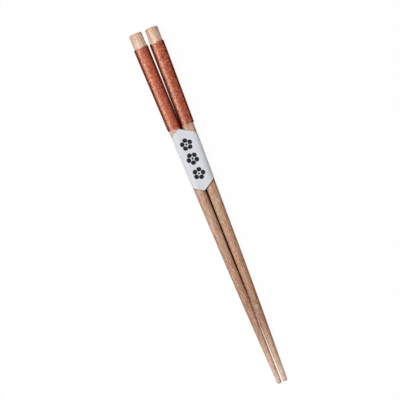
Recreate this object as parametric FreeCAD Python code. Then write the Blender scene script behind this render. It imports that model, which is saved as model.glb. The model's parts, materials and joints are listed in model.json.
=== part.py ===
import FreeCAD, Part
import math
import os

from FreeCAD import Vector

# A pair of turned wooden chopsticks with thread bound round their handles, lying side by side
# on a flat surface and held together by a glued paper band.
# Millimetres. +X runs from the butts to the tips, +Y from the left stick to the right one and
# +Z up. The origin is on the surface they lie on, under the middle of the pair.
# Places along a stick are measured from its butt.

# The stick: two straight tapers that meet in a long soft knee.
butt_diameter = 8.0
knee_diameter = 5.62
tip_diameter = 2.82
handle_length = 163.0           # butt to knee
point_length = 62.0             # knee to tip
knee_blend = 27.0               # from the knee to each end of its arc
butt_edge_rounding = 0.9
tip_rounding = 1.2              # less on a tip too thin for it
tip_rounding_limit = 0.9        # its largest share of the tip's radius
gap_between_sticks = 0.06       # where the two come nearest

# The thread binding, as one sleeve: its turns lie against each other.
thread_diameter = 0.6
thread_to_wood = 0.02
binding_edge_rounding = 0.2
binding_start = {"left": 8.8, "right": 9.1}
binding_end = {"left": 61.9, "right": 61.6}

# The paper band: a front with a point at each end, which narrows to a strap underneath.
paper_thickness = 0.12
paper_to_wood = 0.03
band_to_binding = 0.2
band_length = 39.6              # point to point, along the front
band_slope = 0.6                # run of a slanted edge along the sticks, for each mm round them
slanted_reach = 13.0            # how far round the pair the slanted edges go
butt_point_offset = 2.1         # from the middle of the pair, towards the left stick
tip_point_offset = 0.9
glued_overlap = 7.0

butt_radius = butt_diameter / 2
knee_radius = knee_diameter / 2
tip_radius = tip_diameter / 2
stick_length = handle_length + point_length
side_sign = {"left": -1, "right": 1}


def turned(corners):
    """Solid of revolution about X. Each corner is its place, radius and rounding setback."""
    points = [Vector(place, radius, 0) for place, radius, setback in corners]
    edges = []
    line_start = points[0]
    for i in range(1, len(points) - 1):
        setback = corners[i][2]
        if setback == 0:
            edges.append(Part.LineSegment(line_start, points[i]).toShape())
            line_start = points[i]
            continue
        back = (points[i - 1] - points[i]).normalize()
        ahead = (points[i + 1] - points[i]).normalize()
        half_turn = (math.pi - back.getAngle(ahead)) / 2
        inward = (back + ahead).normalize()
        arc_start = points[i] + back * setback
        arc_middle = points[i] + inward * setback * math.tan(half_turn / 2)
        arc_end = points[i] + ahead * setback
        edges.append(Part.LineSegment(line_start, arc_start).toShape())
        edges.append(Part.Arc(arc_start, arc_middle, arc_end).toShape())
        line_start = arc_end
    edges.append(Part.LineSegment(line_start, points[-1]).toShape())
    edges.append(Part.LineSegment(points[-1], points[0]).toShape())
    return Part.Face(Part.Wire(edges)).revolve(Vector(0, 0, 0), Vector(1, 0, 0), 360)


def handle_radius(place):
    """Radius of the bare wood, on the straight taper between the butt and the knee's arc."""
    return butt_radius + (knee_radius - butt_radius) * place / handle_length


def binding_radius(place):
    """Outer radius of the thread binding."""
    return handle_radius(place) + thread_to_wood + thread_diameter


def stick():
    return turned([
        (0, 0, 0),
        (0, butt_radius, butt_edge_rounding),
        (handle_length, knee_radius, knee_blend),
        (stick_length, tip_radius, min(tip_rounding, tip_rounding_limit * tip_radius)),
        (stick_length, 0, 0),
    ])


def thread_binding(side):
    start = binding_start[side]
    end = binding_end[side]
    return turned([
        (start, handle_radius(start) + thread_to_wood, 0),
        (start, binding_radius(start), binding_edge_rounding),
        (end, binding_radius(end), binding_edge_rounding),
        (end, handle_radius(end) + thread_to_wood, 0),
    ])


def lean(side):
    """Angle of the line that rests on the lower end of the binding and on the knee's arc.

    A stick lies on the surface along that line, and touches its twin along the same line."""
    handle_taper = math.atan((butt_radius - knee_radius) / handle_length)
    point_taper = math.atan((knee_radius - tip_radius) / point_length)
    arc_radius = knee_blend / math.tan((point_taper - handle_taper) / 2)
    arc_centre_place = (handle_length - knee_blend * math.cos(handle_taper)
                        - arc_radius * math.sin(handle_taper))
    arc_centre_depth = (knee_radius + knee_blend * math.sin(handle_taper)
                        - arc_radius * math.cos(handle_taper))
    run = arc_centre_place - binding_end[side]
    drop = binding_radius(binding_end[side]) - arc_centre_depth
    return math.acos(arc_radius / math.hypot(run, drop)) - math.atan2(run, drop)


def placement(side):
    """Where a stick lies: it leans down to the surface and in towards its twin."""
    angle = lean(side)
    end = binding_end[side]
    sign = side_sign[side]
    direction = Vector(
        math.sqrt(1 - 2 * math.sin(angle) ** 2), -sign * math.sin(angle), -math.sin(angle))
    reach = end * math.sin(angle) + binding_radius(end) * math.cos(angle)
    base = Vector(
        -stick_length / 2 * direction.x, sign * (reach + gap_between_sticks / 2), reach)
    return FreeCAD.Placement(base, FreeCAD.Rotation(Vector(1, 0, 0), direction))


def laid(shape, side):
    shape.Placement = placement(side)
    return shape


def centre(side, place):
    """Middle of a stick's section across X, this far from its butt."""
    on_axis = placement(side).multVec(Vector(place, 0, 0))
    return Vector(place - stick_length / 2, on_axis.y, on_axis.z)


def wrapped_section(place, offset):
    """Closed line drawn tight round both sticks, at this offset from the wood."""
    left = centre("left", place)
    right = centre("right", place)
    up = Vector(0, 0, handle_radius(place) + offset)
    out = Vector(0, handle_radius(place) + offset, 0)
    return Part.Wire([
        Part.LineSegment(left + up, right + up).toShape(),
        Part.Arc(right + up, right + out, right - up).toShape(),
        Part.LineSegment(right - up, left - up).toShape(),
        Part.Arc(left - up, left - out, left + up).toShape(),
    ])


def wrapped_block(start, end, offset):
    sections = [wrapped_section(start, offset), wrapped_section(end, offset)]
    return Part.makeLoft(sections, True, True)


def six_sided(ring, opposite):
    """Solid between two flat four-cornered faces whose corners pair up."""
    faces = [Part.Face(Part.makePolygon(face + face[:1])) for face in (ring, opposite)]
    for i in range(4):
        j = (i + 1) % 4
        side_face = [ring[i], ring[j], opposite[j], opposite[i], ring[i]]
        faces.append(Part.Face(Part.makePolygon(side_face)))
    return Part.makeSolid(Part.Shell(faces))


def beyond_slanted_edges(place, point_y, end_sign):
    """What is cut from the band at one end: -1 is the end nearer the butts, 1 nearer the tips.

    An edge falls back from its point by the slope times the way round the pair. In each
    quarter of the section that way is linear, and right at the flat and at the stick's side."""
    clear = 3.0
    radius = handle_radius(place) + paper_to_wood + paper_thickness / 2
    quarter_turn = radius * math.pi / 2
    point_x = centre("left", place).x
    strap_x = point_x - end_sign * band_slope * slanted_reach
    blocks = []
    for side in ("left", "right"):
        sign = side_sign[side]
        axis = centre(side, place)
        outer_y = axis.y + sign * (radius + clear)
        way_to_bottom = sign * (axis.y - point_y) + 2 * quarter_turn
        for level in (1, -1):
            inner_y = point_y if level == 1 else 0.0
            flat_z = axis.z + level * radius
            outer_z = flat_z + level * clear
            on_edge = []
            for y, z in ((inner_y, axis.z), (outer_y, axis.z), (outer_y, outer_z), (inner_y, outer_z)):
                down_the_side = level * (flat_z - z) * (math.pi / 2 - 1)
                if level == 1:
                    way_round = sign * (y - point_y) + down_the_side
                else:
                    way_round = way_to_bottom + sign * (axis.y - y) - down_the_side
                on_edge.append(Vector(point_x - end_sign * band_slope * way_round, y, z))
            far_x = strap_x + end_sign * band_length
            blocks.append(six_sided(on_edge, [Vector(far_x, v.y, v.z) for v in on_edge]))
    clear_x = point_x + end_sign * clear
    width = 2 * (outer_y + clear)
    up_to_strap = Part.makeBox(
        abs(clear_x - strap_x), width, width, Vector(min(clear_x, strap_x), -width / 2, -width / 2))
    return blocks[0].multiFuse(blocks[1:]).common(up_to_strap)


def paper_band():
    start = binding_end["left"] + band_to_binding
    end = start + band_length
    inner = wrapped_block(start, end, paper_to_wood)
    outer = wrapped_block(start, end, paper_to_wood + paper_thickness)
    doubled = wrapped_block(start, end, paper_to_wood + 2 * paper_thickness)
    underside = Part.makeBox(
        stick_length, glued_overlap, centre("left", end).z,
        Vector(-stick_length / 2, -glued_overlap / 2, 0))
    band = outer.fuse(doubled.common(underside)).cut(inner)
    band = band.cut(beyond_slanted_edges(start, -butt_point_offset, -1))
    band = band.cut(beyond_slanted_edges(end, -tip_point_offset, 1))
    return band.removeSplitter()


parts = {"paper_band": paper_band()}
for side in ("left", "right"):
    parts[side + "_stick"] = laid(stick(), side)
    parts[side + "_thread_wrap"] = laid(thread_binding(side), side)

os.makedirs("parts", exist_ok=True)
for node, shape in parts.items():
    shape.exportStep("parts/" + node + ".step")
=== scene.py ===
import functools
import json
import math
import random

import bpy
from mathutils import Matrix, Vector


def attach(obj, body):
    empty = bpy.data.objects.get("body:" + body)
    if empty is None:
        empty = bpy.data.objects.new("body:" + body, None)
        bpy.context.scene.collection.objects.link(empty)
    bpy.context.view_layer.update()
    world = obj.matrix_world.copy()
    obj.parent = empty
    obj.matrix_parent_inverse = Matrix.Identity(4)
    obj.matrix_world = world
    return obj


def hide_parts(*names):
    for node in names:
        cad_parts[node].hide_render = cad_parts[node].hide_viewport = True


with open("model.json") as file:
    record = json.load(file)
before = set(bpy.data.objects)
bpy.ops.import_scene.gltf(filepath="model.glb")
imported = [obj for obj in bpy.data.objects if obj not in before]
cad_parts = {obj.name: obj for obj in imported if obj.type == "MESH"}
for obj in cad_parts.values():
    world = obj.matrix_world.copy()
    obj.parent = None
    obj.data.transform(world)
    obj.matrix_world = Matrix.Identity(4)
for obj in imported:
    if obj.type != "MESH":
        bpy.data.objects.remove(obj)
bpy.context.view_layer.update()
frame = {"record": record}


# ---- The two sticks ----
# A pair turned from a pale pinkish hardwood, 225 mm long: a long taper down the handle, a quicker
# one to the tip and a soft knee between them. Sanded smooth, and sealed with a thin matt lacquer.

stick_length = 0.225
handle_length = 0.163
butt_radius = 0.0040
knee_radius = 0.00281
tip_radius = 0.00141
knee_blend = 0.027
butt_rounding = 0.0009
butt_rounding_steps = 8
butt_crown = 0.00004            # how far the sanded face of the butt bulges
face_rings = [(0.0, 0.0004), (0.00001, 0.0014), (0.00003, 0.0024)]    # place and radius
tip_rounding = 0.0012
tip_rounding_steps = 9
ring_spacing = 0.0025
sides_of_turning = 96
sharp_edge = math.radians(35)   # what turns by more than this isn't shaded smooth


def wood_radius(place):
    """Radius of the wood, this far from the butt."""
    handle_taper = (butt_radius - knee_radius) / handle_length
    point_taper = (knee_radius - tip_radius) / (stick_length - handle_length)
    past_knee = place - handle_length
    radius = butt_radius - handle_taper * place - (point_taper - handle_taper) * max(past_knee, 0)
    inside_blend = max(knee_blend - abs(past_knee), 0)
    return radius - inside_blend ** 2 * (point_taper - handle_taper) / (4 * knee_blend)


def stick_profile():
    """Place and radius of every ring, from the middle of the butt to the middle of the tip."""
    rings = list(face_rings)
    rim = wood_radius(butt_rounding) - butt_rounding
    for step in range(butt_rounding_steps + 1):
        turn = math.radians(90) * step / butt_rounding_steps
        rings.append((butt_crown + (butt_rounding - butt_crown) * (1 - math.cos(turn)),
                      rim + butt_rounding * math.sin(turn)))
    straight = stick_length - tip_rounding - butt_rounding
    count = round(straight / ring_spacing)
    for step in range(1, count):
        place = butt_rounding + straight * step / count
        rings.append((place, wood_radius(place)))
    shoulder = wood_radius(stick_length - tip_rounding)
    for step in range(tip_rounding_steps + 1):
        turn = math.radians(90) * step / tip_rounding_steps
        rings.append((stick_length - tip_rounding * (1 - math.sin(turn)),
                      shoulder - tip_rounding * (1 - math.cos(turn))))
    return rings


def turned_stick(name):
    """A stick along X with its butt at the origin, drawn out ring by ring."""
    rings = stick_profile()
    bpy.ops.object.select_all(action="DESELECT")
    bpy.ops.mesh.primitive_circle_add(vertices=sides_of_turning, radius=rings[0][1],
                                      rotation=(0, math.radians(90), 0))
    stick = bpy.context.object
    stick.name = name
    bpy.ops.object.transform_apply(rotation=True)
    bpy.ops.object.mode_set(mode="EDIT")
    bpy.ops.mesh.select_all(action="SELECT")
    for (place, radius), (next_place, next_radius) in zip(rings, rings[1:]):
        bpy.ops.mesh.extrude_region_move(
            TRANSFORM_OT_translate={"value": (next_place - place, 0, 0)})
        growth = next_radius / radius
        bpy.ops.transform.resize(value=(1, growth, growth), center_override=(next_place, 0, 0))
    bpy.ops.mesh.edge_face_add()
    bpy.ops.mesh.select_non_manifold()
    bpy.ops.mesh.edge_face_add()
    bpy.ops.mesh.select_all(action="SELECT")
    bpy.ops.mesh.normals_make_consistent(inside=False)
    bpy.ops.object.mode_set(mode="OBJECT")
    bpy.ops.object.shade_smooth_by_angle(angle=sharp_edge)
    return stick


butts = {mount["name"]: mount for mount in frame["record"]["mounts"]}
side_sign = {"left": -1, "right": 1}


def butt_of(side):
    """Middle of a stick's butt, and the direction that the stick runs in."""
    mount = butts[side + "_butt"]
    return Vector(mount["pos_m"]), -Vector(mount["axis"]).normalized()


def turn_of(side):
    return Vector((1, 0, 0)).rotation_difference(butt_of(side)[1]).to_euler()


def lay(piece, side):
    """Turns and moves a piece made along X to where that stick lies."""
    bpy.ops.object.select_all(action="DESELECT")
    piece.select_set(True)
    bpy.context.view_layer.objects.active = piece
    piece.location = butt_of(side)[0]
    piece.rotation_euler = turn_of(side)
    bpy.ops.object.transform_apply(location=True, rotation=True, scale=True)


class Tone:
    """One value in the nodes of a finish. Sums on it add their nodes to that finish."""

    def __init__(self, tree, socket=None):
        self.tree = tree
        self.socket = socket

    def node(self, kind, settings, sockets, output=0):
        """Adds a node to the finish, sets it up, links it and gives one of its outputs, if any."""
        made = self.tree.nodes.new("ShaderNode" + kind)
        for name, value in settings.items():
            if name == "stops":
                ramp = made.color_ramp
                while len(ramp.elements) < len(value):
                    ramp.elements.new(0.5)
                for element, (position, tint) in zip(ramp.elements, value):
                    element.position = position
                    element.color = tint
            else:
                setattr(made, name, value)
        for name, value in sockets.items():
            if isinstance(value, Tone):
                self.tree.links.new(value.socket, made.inputs[name])
            else:
                made.inputs[name].default_value = value
        return Tone(self.tree, made.outputs[output]) if made.outputs else None

    def sum(self, operation, first, second):
        return self.node("Math", {"operation": operation}, {0: first, 1: second})

    def __add__(self, other):
        return self.sum("ADD", self, other)

    def __radd__(self, other):
        return self.sum("ADD", other, self)

    def __sub__(self, other):
        return self.sum("SUBTRACT", self, other)

    def __rsub__(self, other):
        return self.sum("SUBTRACT", other, self)

    def __mul__(self, other):
        return self.sum("MULTIPLY", self, other)

    def __rmul__(self, other):
        return self.sum("MULTIPLY", other, self)

    def __truediv__(self, other):
        return self.sum("DIVIDE", self, other)

    def __rtruediv__(self, other):
        return self.sum("DIVIDE", other, self)


def new_finish(name):
    """An empty finish, and the object coordinates to start its patterns from."""
    finish = bpy.data.materials.new(name)
    finish.use_nodes = True
    finish.node_tree.nodes.clear()
    return finish, Tone(finish.node_tree).node("TexCoord", {}, {}, output="Object")


def finish_with(shader):
    """Sends a shader to the surface of its finish."""
    shader.node("OutputMaterial", {}, {"Surface": shader})


def colour(red, green, blue):
    """A colour from its usual 0 to 255 numbers."""
    parts = [part / 255 for part in (red, green, blue)]
    return tuple(part / 12.92 if part <= 0.04045 else ((part + 0.055) / 1.055) ** 2.4
                 for part in parts) + (1.0,)


millimetre = 0.001


def along_stick(where, side):
    """Millimetres from the middle of the butt, with X along the stick."""
    return where.node("Mapping", {"vector_type": "TEXTURE"}, {
        "Vector": where, "Location": butt_of(side)[0], "Rotation": turn_of(side),
        "Scale": (millimetre,) * 3})


def split(where):
    """The three numbers of a place."""
    return [where.node("SeparateXYZ", {}, {0: where}, output=axis) for axis in range(3)]


def stretched(where, scale):
    return where.node("VectorMath", {"operation": "MULTIPLY"}, {0: where, 1: scale})


def clouds(where, scale, seed, detail=2.0):
    """Soft patches that go from 0 to 1, with scale of them to a unit in each direction."""
    return where.node("TexNoise", {"noise_dimensions": "4D"}, {
        "Vector": stretched(where, scale), "W": seed, "Scale": 1.0, "Detail": detail})


def rise(value, low, high):
    """0 below low, 1 above high and a smooth rise between."""
    return value.node("MapRange", {"interpolation_type": "SMOOTHSTEP"}, {
        "Value": value, "From Min": low, "From Max": high})


def blend(share, first, second, kind="MIX"):
    """The first colour, with this share of the second mixed or multiplied in."""
    return share.node("Mix", {"data_type": "RGBA", "blend_type": kind}, {
        0: share, 6: first, 7: second}, output=2)


def larger(first, second):
    return first.node("Math", {"operation": "MAXIMUM"}, {0: first, 1: second})


def length(first, second):
    """How far out a spot is, from how far it is on two axes."""
    squares = first * first + second * second
    return squares.node("Math", {"operation": "SQRT"}, {0: squares})


def angle_of(opposite, adjacent):
    return opposite.node("Math", {"operation": "ARCTAN2"}, {0: opposite, 1: adjacent})


def fraction(value):
    """What is left of a value above its last whole number."""
    return value.node("Math", {"operation": "FRACT"}, {0: value})


# The wood's colour at each share of its length: palest at both ends.
board_tones = {
    "left": [
        (0.00, colour(245, 220, 201)),
        (0.04, colour(244, 216, 197)),
        (0.47, colour(199, 169, 148)),
        (0.56, colour(201, 170, 147)),
        (0.66, colour(201, 162, 137)),
        (0.72, colour(192, 149, 129)),
        (0.78, colour(184, 142, 117)),
        (0.84, colour(194, 157, 138)),
        (0.91, colour(218, 182, 160)),
        (0.95, colour(239, 212, 188)),
        (0.97, colour(240, 219, 188)),
        (1.00, colour(222, 196, 174)),
    ],
    "right": [
        (0.00, colour(247, 219, 196)),
        (0.04, colour(246, 215, 192)),
        (0.47, colour(208, 176, 149)),
        (0.56, colour(199, 163, 134)),
        (0.66, colour(192, 144, 122)),
        (0.72, colour(179, 134, 106)),
        (0.78, colour(169, 128, 103)),
        (0.84, colour(180, 133, 111)),
        (0.91, colour(209, 181, 152)),
        (0.97, colour(241, 214, 195)),
        (1.00, colour(245, 222, 205)),
    ],
}
heart_across, heart_below = 11.0, 17.0          # millimetres to the middle of the tree
growth_ring = 1.9
groove_shade_edge = {"left": 0.72, "right": 0.93}    # edge of the painted shade line, where 1 faces the twin
band_slope = 0.6                                # run of its slanted edges, to 1 round the pair
band_edge = {"left": 100.1, "right": 99.0}      # where one crosses the stick's top, from its butt
# how dark the painted shadow of the band's edge is on each stick
band_edge_shadow = {"left": 0.35, "right": 0.90}


def wood_finish(side, seed):
    """Pinkish hardwood: growth rings of a board cut off the heart, fibres, pores, and end grain.

    It carries painted shade where the sticks meet, and a painted shadow along the band's edge.
    """
    finish, where = new_finish("hardwood_" + side)
    place = along_stick(where, side)
    along, across, height = split(place)

    wander = (clouds(place, (0.02, 0.2, 0.2), seed) - 0.5) * 3.0
    from_heart = length(across - heart_across, height + (heart_below + seed)) + wander
    ring = rise(fraction(from_heart / growth_ring), 0.35, 1.0)
    fibre = clouds(place, (0.11, 2.6, 2.6), seed + 3.0, detail=4.0)
    patch = clouds(place, (0.09, 0.42, 0.42), seed + 7.0)
    ochre = clouds(place, (0.16, 0.70, 0.70), seed + 11.0)
    mottle = clouds(place, (0.32, 2.0, 2.0), seed + 29.0)
    pore = rise(clouds(place, (0.55, 4.6, 4.6), seed + 17.0, detail=1.0), 0.63, 0.74)
    fleck = rise(clouds(place, (0.55, 1.5, 1.5), seed + 23.0), 0.58, 0.68)

    tone = along.node("ValToRGB", {"stops": board_tones[side]}, {
        "Fac": along / (stick_length / millimetre)})
    tone = blend(rise(ochre, 0.46, 0.60) * 0.50, tone, colour(194, 162, 106))
    tone = blend(rise(patch, 0.44, 0.66) * 0.50, tone, colour(204, 142, 126))
    tone = blend(ring * 0.28, tone, colour(190, 150, 128), "MULTIPLY")
    tone = blend((1.0 - rise(fibre, 0.3, 0.6)) * 0.30, tone, colour(186, 142, 118), "MULTIPLY")
    tone = blend(rise(fibre, 0.52, 0.72) * 0.22, tone, colour(246, 226, 204))
    figured = (0.35 + 0.65 * rise(along, 10.0, 60.0)) * (1.0 - 0.4 * rise(along, 180.0, 210.0))
    tone = blend((1.0 - rise(mottle, 0.38, 0.50)) * figured * 0.44, tone,
                 colour(178, 134, 108), "MULTIPLY")
    tone = blend(rise(mottle, 0.52, 0.64) * figured * 0.28, tone, colour(244, 220, 198))
    tone = blend(fleck * figured * 0.65, tone, colour(138, 86, 60))
    tone = blend(pore * 0.5, tone, colour(96, 56, 42))
    end_grain = 1.0 - rise(along, 0.05, 0.5)
    tone = blend(end_grain * 0.35, tone, colour(176, 138, 112), "MULTIPLY")

    # Painted shade: the dark line where the sticks meet, which is wider, darker and redder towards
    # the knee.
    radius = length(across, height)
    outwards = across * side_sign[side]
    late = rise(along, 115.0, 145.0)
    painted_groove_shade = rise(late * 0.06 - outwards / radius, groove_shade_edge[side], 1.0) * rise(
        along, 60.0, 75.0) * (1.0 - rise(along, 170.0, 195.0))
    tone = blend(painted_groove_shade * (0.85 + 0.15 * late), tone,
                 blend(late, colour(124, 76, 50), colour(92, 24, 6)), "MULTIPLY")

    # Painted shadow of the band's edge on the wood nearer the tips, flat on top and then round the
    # stick's side.
    way_round = larger(outwards, angle_of(outwards, height) * radius)
    past_band = along + band_slope * way_round - band_edge[side]
    painted_band_shadow = rise(past_band, -0.8, -0.2) * (1.0 - rise(past_band, 0.5, 1.1)) * band_edge_shadow[side]
    tone = blend(painted_band_shadow, tone, colour(112, 74, 56), "MULTIPLY")

    grain_height = fibre * 0.35 - pore * 0.8 - ring * 0.1
    relief = place.node("Bump", {}, {
        "Height": grain_height, "Strength": 0.35, "Distance": 0.00006})
    finish_with(place.node("BsdfPrincipled", {}, {
        "Base Color": tone, "Roughness": 0.42 + fibre * 0.2 + pore * 0.2, "Normal": relief,
        "Specular IOR Level": 0.12}))
    return finish


for side, seed in (("left", 2.0), ("right", 41.0)):
    stick = turned_stick("turned_stick_" + side)
    lay(stick, side)
    stick.data.materials.append(wood_finish(side, seed))
    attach(stick, "root")
    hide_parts(side + "_stick")


# ---- The thread bindings ----
# One long copper-red twisted thread on each handle, wound turn against turn and glued, with both
# ends trimmed and pressed flat. It is lustrous where it faces the light, and painted shade makes it
# deep red in its folds and down its flanks.

thread_diameter = 0.0006
thread_to_wood = 0.00002
binding = {"left": (0.0088, 0.0619), "right": (0.0091, 0.0616)}    # start and end, from the butt
points_per_turn = 32
trimmed_points = 9              # how many thin down to a pressed end
pressed_end = 0.45              # share of the thickness left there
sideways_slack = 0.00002
inward_pull = 0.00001


def wound_thread(side, seed):
    """The thread of one binding, along X, as a tube that follows the turns."""
    start, end = binding[side]
    first = start + thread_diameter / 2
    run = end - start - thread_diameter
    turns = run / thread_diameter
    count = round(turns * points_per_turn)
    tension = random.Random(seed)
    slack = [tension.uniform(-1, 1) for _ in range(int(turns) + 3)]
    line = bpy.data.curves.new("thread_" + side, "CURVE")
    line.dimensions = "3D"
    line.bevel_depth = thread_diameter / 2
    line.bevel_resolution = 2
    line.use_fill_caps = True
    spline = line.splines.new("POLY")
    spline.points.add(count)
    for i, point in enumerate(spline.points):
        turn = turns * i / count
        whole = int(turn)
        loose = slack[whole] + (slack[whole + 1] - slack[whole]) * (turn - whole)
        place = first + run * i / count + sideways_slack * loose
        trim = min(i, count - i, trimmed_points) / trimmed_points
        thickness = pressed_end + (1 - pressed_end) * trim
        middle = wood_radius(place) + thread_to_wood + thread_diameter / 2 * thickness
        radius = middle / math.cos(math.pi / points_per_turn) - inward_pull * (1 - loose)
        angle = 2 * math.pi * turn
        point.co = (place, radius * math.sin(angle), radius * math.cos(angle), 1)
        point.radius = thickness
    bpy.ops.object.select_all(action="DESELECT")
    thread = bpy.data.objects.new("thread_binding_" + side, line)
    bpy.context.scene.collection.objects.link(thread)
    thread.select_set(True)
    bpy.context.view_layer.objects.active = thread
    bpy.ops.object.convert(target="MESH")
    bpy.ops.object.shade_smooth_by_angle(angle=math.radians(60))
    return thread


dyes = {
    "left": (colour(206, 94, 54), colour(180, 66, 57)),
    "right": (colour(185, 69, 34), colour(158, 43, 37)),
}
length_of_turn = 27.0           # millimetres of thread to a turn, near the butt
ply_twist = 1.5                 # millimetres of thread to one twist of its plies
streaks_per_turn = 18.0
flank_shade_lean = {"left": 0.0, "right": 0.12}   # how far the unshaded top leans outwards from the painted flank shade
flatness = 0.6                  # how far the gloss follows the binding and not each turn


def thread_finish(side, seed):
    """Lustrous dyed copper thread with a soft gloss, and painted shade that makes it deep red and
    matt in its folds and on its flanks.
    """
    finish, where = new_finish("copper_thread_" + side)
    start, end = binding[side]
    place = along_stick(where, side)
    along, across, height = split(place)
    on_thread = where.node("UVMap", {"uv_map": "UVMap"}, {})
    lengthwise, around, _ = split(on_thread)
    turns = (end - start) / thread_diameter
    ply = (lengthwise * (turns * length_of_turn / ply_twist) + around * 2.0) * (2 * math.pi)
    ply = ply.node("Math", {"operation": "SINE"}, {0: ply})

    dye = clouds(place, (0.30, 0.35, 0.35), seed)
    gilt = clouds(place, (0.45, 0.30, 0.30), seed + 5.0)
    turn = lengthwise * turns + 0.5
    turn = turn.node("Math", {"operation": "FLOOR"}, {0: turn})
    turn_tone = turn.node("TexWhiteNoise", {"noise_dimensions": "1D"}, {"W": turn + seed})
    streak = clouds(lengthwise, (turns * streaks_per_turn, 0.0, 0.0), seed + 9.0, detail=1.0)
    glint = clouds(place, (2.2, 1.3, 1.3), seed + 13.0, detail=3.0)
    from_start = along - start / millimetre
    to_end = end / millimetre - along
    near_end = 2.0 - rise(from_start, 2.5, 5.0) - rise(to_end, 2.0, 14.0)

    copper = blend(rise(dye, 0.38, 0.60), *dyes[side])
    copper = blend(rise(gilt, 0.50, 0.72) * 0.6, copper, colour(210, 112, 50))
    copper = blend(rise(turn_tone, 0.5, 0.9) * 0.22, copper, colour(134, 46, 28))
    copper = blend((1.0 - rise(turn_tone, 0.1, 0.5)) * 0.20, copper, colour(240, 136, 92))
    copper = blend((1.0 - rise(streak, 0.36, 0.50)) * 0.50, copper, colour(128, 34, 12))
    copper = blend(rise(streak, 0.50, 0.64) * 0.50, copper, colour(246, 156, 122))
    copper = blend(rise(glint, 0.55, 0.70) * 0.25, copper, colour(232, 142, 100))
    copper = blend(near_end * 0.35, copper, colour(168, 74, 68))

    # Painted shade: the flanks and the underside are painted deep red and made matt, and the top
    # keeps its copper.
    raised = (height + across * flank_shade_lean[side]) / length(across, height)
    painted_flank_shade = 1.0 - rise(raised, 0.36, 0.86)
    copper = blend(painted_flank_shade * 0.90, copper, colour(94, 22, 11))
    # The deep red of the painted shade in the folds, below.
    fold_shade_colour = blend(rise(dye, 0.35, 0.65), colour(90, 16, 6), colour(76, 10, 7))

    # A turn's own roundness is too fine to gloss by, so its gloss partly follows the binding.
    outward = place.node("CombineXYZ", {}, {1: across, 2: height})
    outward = outward.node("VectorMath", {"operation": "NORMALIZE"}, {0: outward})
    outward = outward.node("Mapping", {"vector_type": "VECTOR"}, {
        "Vector": outward, "Rotation": turn_of(side)})
    outward = outward.node("VectorTransform", {
        "vector_type": "NORMAL", "convert_from": "OBJECT", "convert_to": "WORLD"}, {0: outward})
    round_thread = place.node("NewGeometry", {}, {}, output="Normal")
    flattened = place.node("VectorMath", {"operation": "ADD"}, {
        0: stretched(outward, (flatness,) * 3),
        1: stretched(round_thread, (1 - flatness,) * 3)})
    flattened = place.node("VectorMath", {"operation": "NORMALIZE"}, {0: flattened})
    twist = place.node("Bump", {}, {
        "Height": ply, "Strength": 0.4, "Distance": 0.00003, "Normal": flattened})

    # Painted shade in the folds between the turns: the thread is made deep red and matt there.
    faces_out = place.node("VectorMath", {"operation": "DOT_PRODUCT"}, {
        0: round_thread, 1: outward}, output="Value")
    painted_fold_shade = 1.0 - rise(faces_out, 0.46, 0.75)
    thread_colour = blend(painted_fold_shade, copper, fold_shade_colour)

    lustre = place.node("BsdfPrincipled", {}, {
        "Base Color": thread_colour, "Normal": twist,
        "Roughness": 0.34 + turn_tone * 0.14 + rise(glint, 0.3, 0.7) * 0.08,
        "Specular IOR Level": 1.0, "Specular Tint": colour(255, 242, 210)})
    matt = place.node("BsdfPrincipled", {}, {
        "Base Color": thread_colour, "Roughness": 0.8, "Specular IOR Level": 0.0})
    gloss_lost = rise(place.node("LayerWeight", {}, {"Blend": 0.5}, output="Facing"), 0.20, 0.42)
    dull = larger(larger(painted_fold_shade, painted_flank_shade), gloss_lost)
    finish_with(place.node("MixShader", {}, {0: dull, 1: lustre, 2: matt}))
    return finish


for side, tension_seed, dye_seed in (("left", 3, 5.1), ("right", 8, 13.6)):
    thread = wound_thread(side, tension_seed)
    lay(thread, side)
    thread.data.materials.append(thread_finish(side, dye_seed))
    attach(thread, "root")
    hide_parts(side + "_thread_wrap")


# ---- The paper band ----
# A strip of white uncoated paper that holds the pair. It is cut to a point at each end of its
# front, wrapped tight round both sticks, and glued to itself on the underside of the pair.

paper_thickness = 0.00012
paper_to_wood = 0.00003
band_place = 0.0621             # from the butts to its first point
band_length = 0.0396            # point to point
slanted_reach = 0.0130          # how far round the pair the slanted edges go
strip_reach = 0.0230            # half the flat strip
strip_columns, strip_rows = 80, 184
flap_end = 0.0035               # half the glued overlap
overlap_start = 0.0165          # where the strip lifts to lie on its other end
overlap_ramp = 0.0015
butt_point_y = -0.0021          # both points are nearer the left stick
tip_point_y = -0.0009
front_sag = 0.0001              # between the sticks
cut_accuracy = 0.0000001
sheet_size = 0.05               # of the sheet that its pattern is laid out on


def axis_at(side, x):
    """Where a stick's axis crosses this X."""
    butt, direction = butt_of(side)
    return butt + direction * ((x - butt.x) / direction.x)


band_start = butt_of("left")[0].x + band_place
band_end = band_start + band_length
strap_inset = band_slope * slanted_reach


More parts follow.
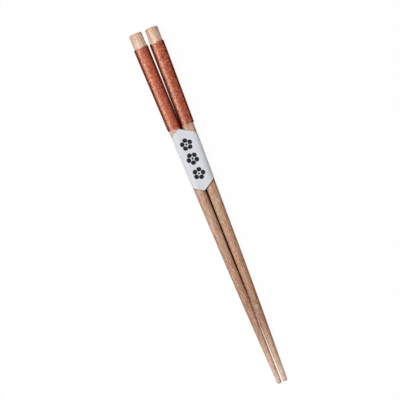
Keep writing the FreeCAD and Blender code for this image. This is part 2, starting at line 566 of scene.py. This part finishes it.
def wrapped(x, way, lift):
    """Where a spot of the flat paper lies once the paper is round the sticks.

    way is how far round it is from the line between the two points, towards the right stick."""
    share = (x - band_start) / band_length
    point_y = butt_point_y + (tip_point_y - butt_point_y) * share
    side = "right" if way > 0 else "left"
    sign = 1 if way > 0 else -1
    axis = axis_at(side, x)
    radius = wood_radius(x - butt_of(side)[0].x) + paper_to_wood + paper_thickness / 2
    front = abs(axis.y - point_y)
    half_turn = math.pi * radius
    full = front + half_turn + abs(axis.y) + flap_end
    gone = abs(way)
    if gone > slanted_reach:
        gone = slanted_reach + (gone - slanted_reach) * (full - slanted_reach) / (
            strip_reach - slanted_reach)
    if gone < front:
        y = point_y + sign * gone
        dip = max(math.cos(math.pi / 2 * y / axis.y), 0)
        return Vector((x, y, axis.z + radius + lift - front_sag * dip ** 2))
    if gone < front + half_turn:
        turn = (gone - front) / radius
        return Vector((x, axis.y + sign * (radius + lift) * math.sin(turn),
                       axis.z + (radius + lift) * math.cos(turn)))
    return Vector((x, axis.y - sign * (gone - front - half_turn), axis.z - radius - lift))


def cut_strip_corner(strip, end, inward, sign):
    """Cuts off what lies beyond a slanted edge, and beyond the edge of the strap past it."""
    bpy.ops.mesh.select_all(action="DESELECT")
    bpy.ops.object.mode_set(mode="OBJECT")
    strap_x = end + inward * strap_inset
    for face in strip.data.polygons:
        face.select = sign * face.center.y > 0 and inward * (strap_x - face.center.x) > 0
    bpy.ops.object.mode_set(mode="EDIT")
    bpy.ops.mesh.select_mode(type="FACE")
    slant = Vector((-inward, sign * band_slope, 0)).normalized()
    bpy.ops.mesh.bisect(plane_co=(end, 0, 0), plane_no=slant, clear_outer=True,
                        threshold=cut_accuracy)
    bpy.ops.mesh.select_mode(type="VERT")


def paper_strip():
    """The flat strip, cut to its two points and then wrapped round the sticks."""
    bpy.ops.object.select_all(action="DESELECT")
    bpy.ops.mesh.primitive_grid_add(x_subdivisions=strip_columns, y_subdivisions=strip_rows,
                                    size=1, location=((band_start + band_end) / 2, 0, 0))
    strip = bpy.context.object
    strip.name = "folded_paper_band"
    strip.scale = (band_length, 2 * strip_reach, 1)
    bpy.ops.object.transform_apply(location=True, rotation=True, scale=True)
    bpy.ops.object.mode_set(mode="EDIT")
    for end, inward in ((band_start, 1), (band_end, -1)):
        bpy.ops.mesh.select_all(action="SELECT")
        bpy.ops.mesh.bisect(plane_co=(end + inward * strap_inset, 0, 0), plane_no=(1, 0, 0),
                            threshold=cut_accuracy)
        for sign in (-1, 1):
            cut_strip_corner(strip, end, inward, sign)
    bpy.ops.mesh.select_all(action="SELECT")
    bpy.ops.mesh.remove_doubles(threshold=0.000002)
    bpy.ops.object.mode_set(mode="OBJECT")
    flat = strip.data.uv_layers.new(name="flat_paper")
    for loop in strip.data.loops:
        spot = strip.data.vertices[loop.vertex_index].co
        flat.data[loop.index].uv = (
            (spot.x - band_start) / sheet_size, spot.y / sheet_size + 0.5)
    for vertex in strip.data.vertices:
        x, way, _ = vertex.co
        over = paper_thickness * min(max((way - overlap_start) / overlap_ramp, 0), 1)
        vertex.co = wrapped(x, way, over)
    return strip


def paper_finish(name, printed):
    """White uncoated paper with loose fibres, and black ink on its outside.

    Its pattern is in millimetres, and 25 across is the line between the two points."""
    finish, where = new_finish(name)
    flat = where.node("UVMap", {"uv_map": "flat_paper"}, {})
    sheet = stretched(flat, (sheet_size / millimetre, sheet_size / millimetre, 0.0))
    along, across, _ = split(sheet)
    mottle = clouds(sheet, (0.35, 0.35, 0.0), 1.0, detail=3.0)
    fibre = clouds(sheet, (1.2, 9.0, 0.0), 4.0, detail=3.0)
    tone = blend(rise(mottle, 0.3, 0.7) * 0.5, colour(210, 212, 218), colour(217, 218, 222))
    tone = blend(rise(fibre, 0.45, 0.8) * 0.25, tone, colour(236, 236, 236))
    # Painted light: the paper is painted whiter down both sides of the band, to lift their shade.
    painted_side_light = rise(across, 30.5, 34.5) * 0.8 + (1.0 - rise(across, 18.5, 21.0)) * 0.4
    tone = blend(painted_side_light, tone, colour(248, 249, 250))
    relief = where.node("Bump", {}, {
        "Height": mottle * 0.6 + fibre * 0.4, "Strength": 0.25, "Distance": 0.00004})
    paper = where.node("BsdfPrincipled", {}, {
        "Base Color": tone, "Roughness": 0.62 + fibre * 0.2, "Normal": relief,
        "Specular IOR Level": 0.25, "Sheen Weight": 0.35, "Sheen Roughness": 0.5})
    if printed:
        ink = where.node("BsdfPrincipled", {}, {
            "Base Color": colour(24, 24, 28), "Roughness": 0.75, "Normal": relief,
            "Specular IOR Level": 0.1})
        paper = where.node("MixShader", {}, {
            0: blossoms(along, across, sheet), 1: paper, 2: ink})
    finish_with(paper)
    return finish


blossom_places = (10.3, 19.4, 29.0)     # millimetres along the flat paper
blossom_across = 25.86
blossom_turn = 0.13                     # from one blossom to the next, as a share of a turn
petals = 5
petal_distance = 2.5
petal_narrowing = 0.92
petal_radius = 1.35
stamen_radius = 0.69
ink_edge = 0.07


def stamped(distance, radius):
    """1 inside this radius, with a soft edge."""
    return 1.0 - rise(distance, radius - ink_edge, radius + ink_edge)


def blossoms(along, across, sheet):
    """Three five-petalled blossoms stamped down the front, with a dry, broken edge to the ink."""
    ragged = (clouds(sheet, (3.5, 3.5, 0.0), 9.0, detail=3.0) - 0.5) * 0.5
    dry = rise(clouds(sheet, (1.3, 5.0, 0.0), 12.0, detail=3.0), 0.36, 0.46)
    shapes = []
    for number, middle in enumerate(blossom_places):
        right = along - middle
        up = across - blossom_across
        far = length(right, up)
        part = (angle_of(up, right) / (2 * math.pi) + (1.0 + blossom_turn * number)) * petals
        part = (fraction(part) - 0.5) * (2 * math.pi / petals)
        petal_x = far * part.node("Math", {"operation": "COSINE"}, {0: part})
        petal_y = far * part.node("Math", {"operation": "SINE"}, {0: part})
        away = length(petal_x - petal_distance, petal_y * petal_narrowing)
        shapes.append(stamped(away + ragged, petal_radius))
        shapes.append(stamped(far + ragged, stamen_radius))
    return functools.reduce(larger, shapes) * (0.90 + 0.10 * dry)


strip = paper_strip()
strip.data.materials.append(paper_finish("printed_paper", True))
strip.data.materials.append(paper_finish("plain_paper", False))
bpy.context.view_layer.objects.active = strip
strip.select_set(True)
thickness = strip.modifiers.new("thickness", "SOLIDIFY")
thickness.thickness = paper_thickness
thickness.offset = 0
thickness.material_offset = 1
thickness.material_offset_rim = 1
bpy.ops.object.modifier_apply(modifier="thickness")
bpy.ops.object.shade_smooth_by_angle(angle=sharp_edge)
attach(strip, "root")
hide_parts("paper_band")


# ---- Floor, light and camera ----
# The pair lies on a white table in a white room, under a broad lamp overhead and a smaller one
# low on its left. A third lamp, beside that one, only adds to its gloss.

bpy.ops.object.select_all(action="DESELECT")
bpy.ops.mesh.primitive_plane_add(size=6)
floor = bpy.context.object
floor.name = "white_table"

white = (1.0, 1.0, 1.0, 1.0)
table_paint = (0.95, 0.95, 0.95, 1.0)
table_bounce = (0.25, 0.25, 0.25, 1.0)      # the colour that it lights the pair with
table_glow = 0.94                           # how much of it is seen as plain white
room_light = 0.12


def seen_directly(start):
    """1 for what the camera sees, straight or through gloss and glass, and 0 for what lights."""
    straight, glossy, through = (
        start.node("LightPath", {}, {}, output="Is %s Ray" % kind)
        for kind in ("Camera", "Glossy", "Transmission"))
    return larger(larger(straight, glossy), through)


table_finish, where = new_finish("white_table")
along, across, _ = split(stretched(where, (1 / millimetre,) * 3))
from_middle = across.node("Math", {"operation": "ABSOLUTE"}, {0: across})
strip_between = 1.0 - rise(from_middle, 1.2, 3.0)
opening = rise(along, 46.0, 60.0)

# Where the sticks all but touch, the table keeps its full shadow, and is painted dark brown there
# as a painted shadow.
closing = rise(along, -108.0, -100.0) * rise(along + 60.0 * from_middle, -76.0, -51.0)
shade = strip_between * (1.0 - opening) * closing

# Where their points stand apart, the table's white is painted warm: a painted glow of light from
# the wood on both sides.
painted_warm_glow = strip_between * opening * (1.0 - rise(along, 66.0, 86.0))

seen = seen_directly(where)
tint = blend(shade, table_paint, colour(84, 34, 14))
lit = where.node("BsdfDiffuse", {}, {"Color": blend(seen, table_bounce, tint)})
bright = where.node("Emission", {}, {
    "Color": blend(painted_warm_glow, white, colour(255, 218, 190)), "Strength": 1.0})
share_bright = seen * (1.0 - shade) * table_glow
finish_with(where.node("MixShader", {}, {0: share_bright, 1: lit, 2: bright}))
floor.data.materials.append(table_finish)

room = bpy.data.worlds.new("white_room")
bpy.context.scene.world = room
room.use_nodes = True
room.node_tree.nodes.clear()
seen = seen_directly(Tone(room.node_tree))
glow = seen.node("Background", {}, {
    "Color": white, "Strength": room_light + seen * (1.0 - room_light)})
glow.node("OutputWorld", {}, {"Surface": glow})

for name, location, size, power, in_gloss, in_light in (
        ("overhead_lamp", (-0.05, -0.15, 1.1), 1.0, 9.9, False, True),
        ("side_lamp", (-0.25, -0.70, 0.74), 0.55, 3.8, True, True),
        ("gloss_lamp", (-0.20, -0.84, 0.60), 0.70, 20.0, True, False)):
    lamp_data = bpy.data.lights.new(name, "AREA")
    lamp_data.shape = "SQUARE"
    lamp_data.size = size
    lamp_data.energy = power
    lamp = bpy.data.objects.new(name, lamp_data)
    lamp.visible_glossy = in_gloss
    lamp.visible_diffuse = in_light
    bpy.context.scene.collection.objects.link(lamp)
    lamp.location = location
    lamp.rotation_euler = (-lamp.location).to_track_quat("-Z", "Y").to_euler()

picture_turn = math.radians(68.3)
picture_right = Vector((math.cos(picture_turn), math.sin(picture_turn), 0))
picture_up = Vector((-math.sin(picture_turn), math.cos(picture_turn), 0))
camera_height = 1.3254
camera_right = -0.00766
camera_up = 0.00397

camera_data = bpy.data.cameras.new("camera")
camera_data.lens = 200
camera_data.sensor_width = 36
camera_data.clip_start = 0.01
camera = bpy.data.objects.new("camera", camera_data)
bpy.context.scene.collection.objects.link(camera)
camera.location = (camera_right * picture_right + camera_up * picture_up
                   + Vector((0, 0, camera_height)))
camera.rotation_euler = (0, 0, picture_turn)
bpy.context.scene.camera = camera
bpy.context.scene.view_settings.view_transform = "Standard"
